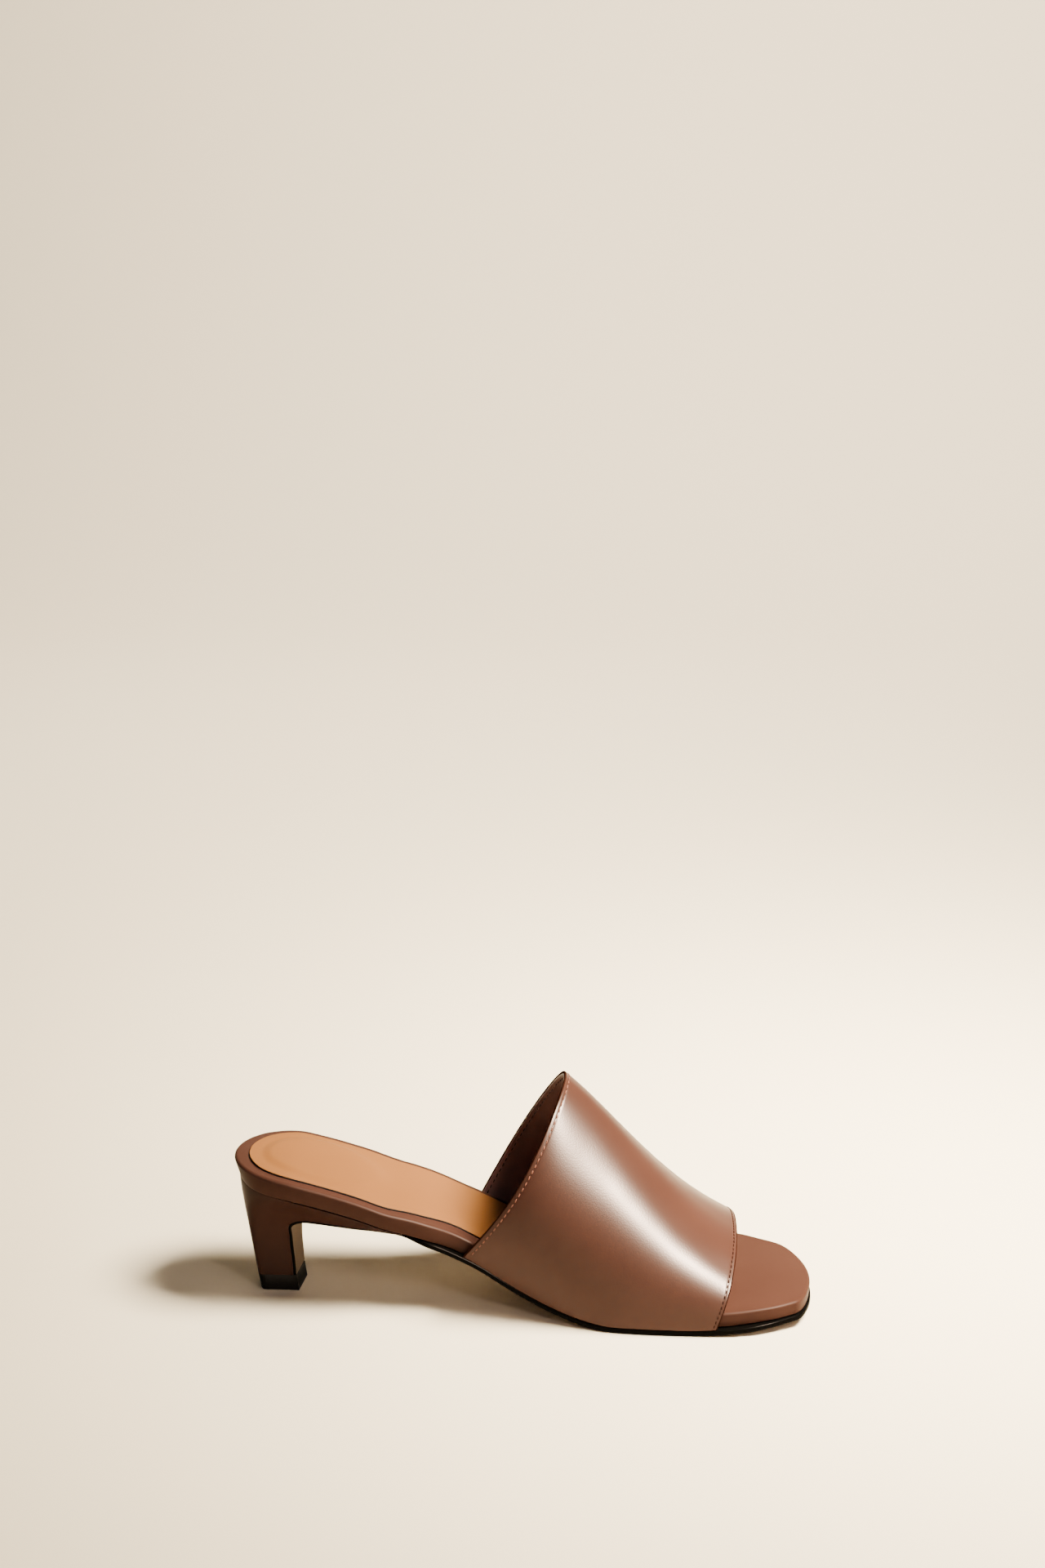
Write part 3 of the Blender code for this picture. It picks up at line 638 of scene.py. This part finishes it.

# Sock: thin tan leather on a soft foam, cut with a clean edge and stuck down inside the footbed's rim. The
# foam stands a little prouder under the heel. Its cut edge is coloured near black: partly ink, partly
# painted shade for the shadowed gap along it.
SOCK_THICKNESS = 0.0006
SOCK_OUTER_INSET = 0.0042
SOCK_HEEL_INSET = 0.0064
SOCK_END = 0.182
SOCK_EDGE = 0.00035
SOCK_AT_ITS_EDGE = 0.55
SOCK_GLUE = 0.00002
SOCK_ACROSS = 40
SOCK_HEEL_SIDE = 1.2
PAD_START = 0.0145
PAD_END = 0.062
PAD_HALF_WIDTH = 0.0165
PAD_RISE = 0.0009
PAD_FOOT = 1.12
PAD_SLOPE = 0.20
CUT_FACES_FROM = 0.6
TAN = (0.165, 0.067, 0.0210)
TAN_DEEP = (0.150, 0.060, 0.0180)
# Near-black colour of the sock's cut edge: ink on the edge together with painted shade for the gap beside
# it.
SOCK_EDGE_INK_AND_SHADE = (0.003, 0.0015, 0.001)

outline = plan_ring()
outline = drawn_in(outline, board(1, outline))
across = ease(0.5 + outline[:, 1] / BALL_WIDTH * 2)
inset = mix(board(3, outline), SOCK_OUTER_INSET, across)
inset = mix(inset, SOCK_HEEL_INSET, np.clip(1 - outline[:, 0] / HEEL_ROUND, 0.0, None) ** 2)
whole = drawn_in(outline, inset)
half = len(whole) // 2
kept = [i for i in range(1, half) if whole[i, 0] < SOCK_END]
inner, outer = whole[kept], whole[[-i for i in kept]]
share = (1 - np.cos(np.pi * np.arange(SOCK_ACROSS + 1) / SOCK_ACROSS)) / 2
grid = inner[:, None, :] + (outer - inner)[:, None, :] * share[None, :, None]
grid = np.concatenate((np.broadcast_to(whole[0], grid[:1].shape), grid))
near = np.minimum(share, 1 - share)[None, :] * np.linalg.norm(
    np.concatenate((np.zeros((1, 2)), outer - inner)), axis=1)[:, None]
near = np.minimum(near, np.abs(grid[:, :, 0] - whole[0, 0]) * SOCK_HEEL_SIDE)
edge = np.sqrt(np.clip(1 - (1 - np.clip(near / SOCK_EDGE, 0, 1)) ** 2, 0, 1))
middle = (PAD_START + PAD_END) / 2
pad = np.hypot((grid[:, :, 0] - middle) / ((PAD_END - PAD_START) / 2), grid[:, :, 1] / PAD_HALF_WIDTH)
rise = PAD_RISE * ease((PAD_FOOT - pad) / PAD_SLOPE)
low = footbed_top(grid[:, :, 0]) + SOCK_GLUE
high = low + CLEARANCE + SOCK_THICKNESS * mix(SOCK_AT_ITS_EDGE, 1.0, edge) + rise - SOCK_GLUE
rows, columns = grid.shape[:2]
top = np.concatenate((grid, high[:, :, None]), 2).reshape(-1, 3)
bottom = np.concatenate((grid, low[:, :, None]), 2).reshape(-1, 3)
faces = []
for row in range(rows - 1):
    for column in range(columns - 1):
        a = row * columns + column
        quad = (a, a + 1, a + columns + 1, a + columns)
        faces += [quad, tuple(i + rows * columns for i in reversed(quad))]
rim = [row * columns for row in range(rows)]
rim += [(rows - 1) * columns + column for column in range(1, columns)]
rim += [row * columns + columns - 1 for row in reversed(range(rows - 1))]
for a, b in zip(rim, rim[1:]):
    faces.append((a, b, b + rows * columns, a + rows * columns))
tan = leather("sock_leather", TAN, TAN_DEEP, roughness=0.58, gloss=0.04, grain=(0.0006, 0.00001),
              crease=(0.016, 0.00003), patch=0.05)
sock_edge_ink_and_shade = leather("sock_edge_ink_and_painted_shade", SOCK_EDGE_INK_AND_SHADE, SOCK_EDGE_INK_AND_SHADE, roughness=0.6, gloss=0.04)
sock = new_piece("sock_leather", np.concatenate((top, bottom)), faces, (tan, sock_edge_ink_and_shade), "sock")
# The sock's standing edge faces take the near-black colour of ink and painted shade.
for face in sock.data.polygons:
    if abs(face.normal.z) < CUT_FACES_FROM:
        face.material_index = 1

# Vamp: one piece of glossy brown calf pulled over the last from foot to foot. Its cut edges are coloured,
# and it is thin enough to show a soft hollow where the stitching pulls it down.
INSTEP_HEIGHT = 0.0980
LEATHER_THICKNESS = 0.0011
FEET_TURN_IN = 0.0004
FEET_DROP = 0.7 * CLEARANCE
FAIRING = 0.015
FAIRING_STEPS = 9
HUG_SOLE = 10
TURN_IN_HEIGHT = 0.0012
EDGE_ROUNDING = 0.00035
EDGE_ROUNDING_STEPS = 4
STITCH_FROM_COLLAR = 0.0021
STITCH_FROM_TOE = 0.0017
STITCH_HOLLOW = 0.00010
HOLLOW_WIDTH = 0.0005
VAMP_COLUMNS = 180
VAMP_MEASURED_ROWS = 320
VAMP_ROWS = 110
FINE_ROWS = 18
FINE_REACH = 0.0042
CALF = (0.045, 0.0190, 0.0142)
CALF_DEEP = (0.038, 0.0155, 0.0114)
CUT_EDGE = (0.018, 0.006, 0.004)
CUT_EDGE_DEEP = (0.014, 0.005, 0.003)
# along, feet (inner, outer), crest, height, shift, bulge (inner, outer), sweep (inner, outer), squareness
ARCHES = np.array((
    (0.00, 0.403, 0.412, 0.574, 1.000, -0.017, 0.091, 0.096, 0.0140, 0.0030, 2.24),
    (0.25, 0.511, 0.522, 0.646, 0.825, -0.020, 0.110, 0.060, 0.0040, 0.0005, 2.15),
    (0.50, 0.619, 0.630, 0.718, 0.630, -0.024, 0.045, 0.024, 0.0010, 0.0000, 2.15),
    (0.75, 0.727, 0.738, 0.794, 0.449, -0.020, 0.015, 0.016, 0.0025, 0.0030, 2.20),
    (1.00, 0.835, 0.845, 0.872, 0.316, -0.012, 0.011, 0.019, 0.0010, -0.0050, 2.31),
))


def arch_values(share):
    """The arches' columns at shares of the way from collar to toe, on one smooth curve through them all."""
    places = ARCHES[:, 0]
    columns = np.zeros((ARCHES.shape[1] - 1, *share.shape))
    for i, place in enumerate(places):
        weight = np.prod([(share - other) / (place - other) for other in places if other != place], axis=0)
        columns += weight * ARCHES[i, 1:].reshape(-1, *[1] * share.ndim)
    return columns


def vamp_surface(along, around):
    """Points of the vamp's outer face on a grid: along from collar to toe, around from foot to foot."""
    s, t = np.meshgrid(along, around, indexing="ij")
    column = arch_values(s)
    feet_in, feet_out, crest, height, shift, bulge_in, bulge_out, sweep_in, sweep_out, squareness = column
    inside = t < 0.5
    rise = np.abs(np.sin(np.pi * t)) ** (2 / squareness)
    spread = np.abs(np.cos(np.pi * t)) ** (2 / squareness)
    foot_x = np.where(inside, feet_in, feet_out) * SHOE_LENGTH
    near_sole = (1 - rise) ** HUG_SOLE
    foot_z = sole_underside(foot_x) + SOLE_THICKNESS + CLEARANCE
    foot_y = np.where(inside, sole_edge(foot_x, -1), sole_edge(foot_x, 1))
    # Away from its feet the vamp follows the sole's edge only on average, so that its gloss runs smoothly
    fair_y = np.zeros(foot_x.shape)
    for span in np.linspace(-FAIRING, FAIRING, FAIRING_STEPS):
        fair_y += np.where(inside, sole_edge(foot_x + span, -1), sole_edge(foot_x + span, 1)) / FAIRING_STEPS
    foot_y = mix(fair_y, foot_y, near_sole)
    bulge = np.where(inside, -bulge_in, bulge_out) * BALL_WIDTH
    sweep = np.where(inside, sweep_in, sweep_out) * SHOE_LENGTH
    swell = np.sin(np.pi * rise)
    x = mix(foot_x, crest * SHOE_LENGTH, rise) + sweep * swell
    y = mix(shift * BALL_WIDTH, foot_y, spread) + bulge * swell * spread
    z = mix(foot_z, height * INSTEP_HEIGHT, rise)
    turn_in = FEET_TURN_IN * (1 - ease((z - foot_z) / TURN_IN_HEIGHT))
    y += np.where(inside, turn_in, -turn_in)
    z -= FEET_DROP * (1 - ease((z - foot_z) / TURN_IN_HEIGHT))
    return np.stack((x, y, z), 2)


dense = vamp_surface(np.linspace(0, 1, VAMP_MEASURED_ROWS), np.linspace(0, 1, VAMP_COLUMNS + 1))
outwards = np.cross(np.gradient(dense, axis=0), np.gradient(dense, axis=1))
outwards /= np.linalg.norm(outwards, axis=2)[:, :, None]
lengths = np.concatenate((
    np.zeros((1, VAMP_COLUMNS + 1)), np.cumsum(np.linalg.norm(np.diff(dense, axis=0), axis=2), axis=0)))


def vamp_at(distances):
    """Points and normals at distances from the collar, a row of them for each column of the vamp."""
    places, facing = np.empty((*distances.shape, 3)), np.empty((*distances.shape, 3))
    for i in range(VAMP_COLUMNS + 1):
        for axis in range(3):
            places[:, i, axis] = np.interp(distances[:, i], lengths[:, i], dense[:, i, axis])
            facing[:, i, axis] = np.interp(distances[:, i], lengths[:, i], outwards[:, i, axis])
    return places, facing / np.linalg.norm(facing, axis=2)[:, :, None]


def vamp_layer(outer_depth, inner_depth, set_back, hollow):
    """A closed sheet that follows the vamp between two depths under its outer face, with its cut faces."""
    fine = np.linspace(EDGE_ROUNDING, FINE_REACH, FINE_ROWS)
    span = lengths[-1] - 2 * set_back
    rows = [np.full(VAMP_COLUMNS + 1, d) for d in fine]
    rows += [mix(FINE_REACH, span - FINE_REACH, (i + 1) / (VAMP_ROWS + 1)) for i in range(VAMP_ROWS)]
    rows += [span - d for d in fine[::-1]]
    turn = np.pi / 2 * np.arange(EDGE_ROUNDING_STEPS + 1) / EDGE_ROUNDING_STEPS
    arc = [(EDGE_ROUNDING * (1 - math.sin(a)), EDGE_ROUNDING * (1 - math.cos(a))) for a in turn]
    thick = inner_depth - outer_depth
    rolled = arc[1:] + [(set_in, thick - depth) for set_in, depth in arc[::-1]]
    loop = [(row, 0.0) for row in rows]
    loop += [(span - set_in, depth) for set_in, depth in rolled]
    inside = len(loop)
    loop += [(row, thick) for row in rows[::-1][1:-1]]
    cut_rows = [*range(len(rows) - 2, inside), *range(len(loop) - 1, len(loop) + len(rolled)), 0]
    loop += [(np.full(VAMP_COLUMNS + 1, set_in), depth) for set_in, depth in rolled[::-1]]
    distances = np.array([row for row, depth in loop]) + set_back
    places, facing = vamp_at(distances)
    dip = hollow * (
        np.exp(-(((distances - STITCH_FROM_COLLAR) / HOLLOW_WIDTH) ** 2))
        + np.exp(-(((lengths[-1] - distances - STITCH_FROM_TOE) / HOLLOW_WIDTH) ** 2)))
    dip[len(rows):] = 0.0
    depths = np.array([depth for row, depth in loop])[:, None] + dip + outer_depth
    points = (places - facing * depths[:, :, None]).reshape(-1, 3)
    count, wide = len(loop), VAMP_COLUMNS + 1
    faces = []
    for row in range(count):
        here, following = row * wide, (row + 1) % count * wide
        for i in range(wide - 1):
            faces.append((here + i, here + i + 1, following + i + 1, following + i))
    for end in (0, wide - 1):
        faces.append(tuple(row * wide + end for row in range(count)))
    return points, faces, [row * (wide - 1) + i for row in cut_rows for i in range(wide - 1)]


calf = leather("calf", CALF, CALF_DEEP, roughness=0.29, gloss=0.085, grain=(0.0006, 0.000010),
               crease=(0.03, 0.00002), spread=0.06)
cut_edge = leather("calf_cut_edge", CUT_EDGE, CUT_EDGE_DEEP, roughness=0.6, gloss=0.0)
points, faces, cut_faces = vamp_layer(0.0, LEATHER_THICKNESS, 0.0, STITCH_HOLLOW)
vamp = new_piece("vamp_leather", points, faces, (calf, cut_edge), "upper", sharp=60.0)
for i in cut_faces:
    vamp.data.polygons[i].material_index = 1

# Lining: thin brown leather, 0.7 mm, stuck to the whole inside of the vamp. It is trimmed just short of the
# vamp's edges.
LINING_SET_BACK = 0.0003
LINING_GLUE = 0.00001
LINING = (0.14, 0.066, 0.066)
LINING_DEEP = (0.10, 0.046, 0.045)
lining_leather = leather("lining_leather", LINING, LINING_DEEP, roughness=0.5, gloss=0.3,
                         crease=(0.01, 0.00005))
points, faces = vamp_layer(LEATHER_THICKNESS + LINING_GLUE, UPPER_WALL, LINING_SET_BACK, 0.0)[:2]
lining = new_piece("vamp_lining", points, faces, (lining_leather,), sharp=60.0)

# Stitches: a row of lockstitches in pinkish brown thread along the collar, dark on the lining side, and a
# closer dark row behind the toe edge. The outer rows are sunk a little into the leather.
THREAD = (0.17, 0.068, 0.050)
THREAD_DARK = (0.016, 0.005, 0.0035)
THREAD_ROUGHNESS = 0.55
THREAD_GLOSS = 0.02
THREAD_TWISTS = 900.0
THREAD_SHADES = (0.7, 1.25)
STITCH_SUNK = 0.00002
LINING_STITCH_PROUD = 0.00010
# pitch, length, thickness
COLLAR_STITCH = (0.0027, 0.0018, 0.00054)
TOE_STITCH = (0.0022, 0.0015, 0.00055)
LINING_STITCH = (0.0027, 0.0019, 0.00042)


def thread_material(name, color):
    """A thread whose twist shows as lighter and darker flecks."""
    material = bpy.data.materials.new(name)
    material.use_nodes = True
    nodes, link = material.node_tree.nodes, material.node_tree.links.new
    shader = nodes["Principled BSDF"]
    shader.inputs["Roughness"].default_value = THREAD_ROUGHNESS
    shader.inputs["Specular IOR Level"].default_value = THREAD_GLOSS
    place = nodes.new("ShaderNodeTexCoord")
    twist = nodes.new("ShaderNodeTexNoise")
    twist.inputs["Scale"].default_value = THREAD_TWISTS
    link(place.outputs["Object"], twist.inputs["Vector"])
    shade = nodes.new("ShaderNodeMix")
    shade.data_type = "RGBA"
    for socket, strength in zip(("A", "B"), THREAD_SHADES):
        shade.inputs[socket].default_value = (*(strength * part for part in color), 1.0)
    link(twist.outputs["Fac"], shade.inputs["Factor"])
    link(shade.outputs["Result"], shader.inputs["Base Color"])
    return material


def stitch_tree():
    """Geometry Nodes: stitches of a length and thickness, one each pitch along a path with its normals."""
    tree = bpy.data.node_groups.new("stitch_row", "GeometryNodeTree")
    tree.interface.new_socket(name="Path", in_out="INPUT", socket_type="NodeSocketGeometry")
    for socket in ("Pitch", "Length", "Thickness", "Slant"):
        tree.interface.new_socket(name=socket, in_out="INPUT", socket_type="NodeSocketFloat")
    tree.interface.new_socket(name="Thread", in_out="INPUT", socket_type="NodeSocketMaterial")
    tree.interface.new_socket(name="Stitches", in_out="OUTPUT", socket_type="NodeSocketGeometry")
    nodes, link = tree.nodes, tree.links.new
    given, result = nodes.new("NodeGroupInput"), nodes.new("NodeGroupOutput")
    curve = nodes.new("GeometryNodeMeshToCurve")
    link(given.outputs["Path"], curve.inputs["Mesh"])
    spaced = nodes.new("GeometryNodeResampleCurve")
    spaced.mode = "LENGTH"
    link(curve.outputs["Curve"], spaced.inputs["Curve"])
    link(given.outputs["Pitch"], spaced.inputs["Length"])
    along = nodes.new("GeometryNodeInputTangent")
    facing = nodes.new("GeometryNodeInputNamedAttribute")
    facing.data_type = "FLOAT_VECTOR"
    facing.inputs["Name"].default_value = "facing"
    up = nodes.new("FunctionNodeAlignRotationToVector")
    up.axis = "Z"
    link(facing.outputs["Attribute"], up.inputs["Vector"])
    aim = nodes.new("FunctionNodeAlignRotationToVector")
    aim.axis = "X"
    aim.pivot_axis = "Z"
    link(up.outputs["Rotation"], aim.inputs["Rotation"])
    link(along.outputs["Tangent"], aim.inputs["Vector"])
    slant = nodes.new("ShaderNodeCombineXYZ")
    link(given.outputs["Slant"], slant.inputs["Z"])
    to_rotation = nodes.new("FunctionNodeEulerToRotation")
    link(slant.outputs["Vector"], to_rotation.inputs["Euler"])
    turned = nodes.new("FunctionNodeRotateRotation")
    turned.rotation_space = "LOCAL"
    link(aim.outputs["Rotation"], turned.inputs["Rotation"])
    link(to_rotation.outputs["Rotation"], turned.inputs["Rotate By"])
    bead = nodes.new("GeometryNodeMeshUVSphere")
    bead.inputs["Segments"].default_value = 12
    bead.inputs["Rings"].default_value = 8
    bead.inputs["Radius"].default_value = 0.5
    size = nodes.new("ShaderNodeCombineXYZ")
    link(given.outputs["Length"], size.inputs["X"])
    link(given.outputs["Thickness"], size.inputs["Y"])
    link(given.outputs["Thickness"], size.inputs["Z"])
    shaped = nodes.new("GeometryNodeTransform")
    link(bead.outputs["Mesh"], shaped.inputs["Geometry"])
    link(size.outputs["Vector"], shaped.inputs["Scale"])
    placed = nodes.new("GeometryNodeInstanceOnPoints")
    link(spaced.outputs["Curve"], placed.inputs["Points"])
    link(shaped.outputs["Geometry"], placed.inputs["Instance"])
    link(turned.outputs["Rotation"], placed.inputs["Rotation"])
    real = nodes.new("GeometryNodeRealizeInstances")
    link(placed.outputs["Instances"], real.inputs["Geometry"])
    smooth_shade = nodes.new("GeometryNodeSetShadeSmooth")
    link(real.outputs["Geometry"], smooth_shade.inputs["Geometry"])
    dyed = nodes.new("GeometryNodeSetMaterial")
    link(smooth_shade.outputs["Geometry"], dyed.inputs["Geometry"])
    link(given.outputs["Thread"], dyed.inputs["Material"])
    link(dyed.outputs["Geometry"], result.inputs["Stitches"])
    return tree


STITCH_ROW = stitch_tree()


def stitch_row(name, places, facing, thread, pitch, length, thickness, slant=0.08):
    """One row of stitches along points that each have an outward direction."""
    mesh = bpy.data.meshes.new(name)
    placed = places + np.array((HEEL_BACK, MIDDLE, 0.0))
    mesh.from_pydata(placed.tolist(), [(i, i + 1) for i in range(len(placed) - 1)], [])
    mesh.attributes.new("facing", "FLOAT_VECTOR", "POINT").data.foreach_set("vector", facing.ravel())
    row = bpy.data.objects.new(name, mesh)
    bpy.context.scene.collection.objects.link(row)
    modifier = row.modifiers.new("stitches", "NODES")
    modifier.node_group = STITCH_ROW
    values = {"Pitch": pitch, "Length": length, "Thickness": thickness, "Slant": slant, "Thread": thread}
    for item in STITCH_ROW.interface.items_tree:
        if item.in_out == "INPUT" and item.name in values:
            modifier[item.identifier] = values[item.name]
    apply_modifiers(row)
    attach(row, "root")
    return row


def vamp_line(distance, depth, skip):
    """A line along the vamp at distances from the collar, at a depth, leaving some columns at each foot."""
    places, facing = vamp_at(np.broadcast_to(distance, (1, VAMP_COLUMNS + 1)))
    kept = slice(skip, VAMP_COLUMNS + 1 - skip)
    return (places - facing * depth)[0, kept], facing[0, kept]


thread = thread_material("thread", THREAD)
dark_thread = thread_material("dark_thread", THREAD_DARK)
places, facing = vamp_line(STITCH_FROM_COLLAR, STITCH_SUNK, 2)
stitch_row("collar_stitches", places, facing, thread, *COLLAR_STITCH)
places, facing = vamp_line(lengths[-1] - STITCH_FROM_TOE, STITCH_SUNK, 2)
stitch_row("toe_stitches", places, facing, dark_thread, *TOE_STITCH)
places, facing = vamp_line(STITCH_FROM_COLLAR, UPPER_WALL + LINING_STITCH_PROUD, 3)
stitch_row("lining_stitches", places, -facing, dark_thread, *LINING_STITCH)
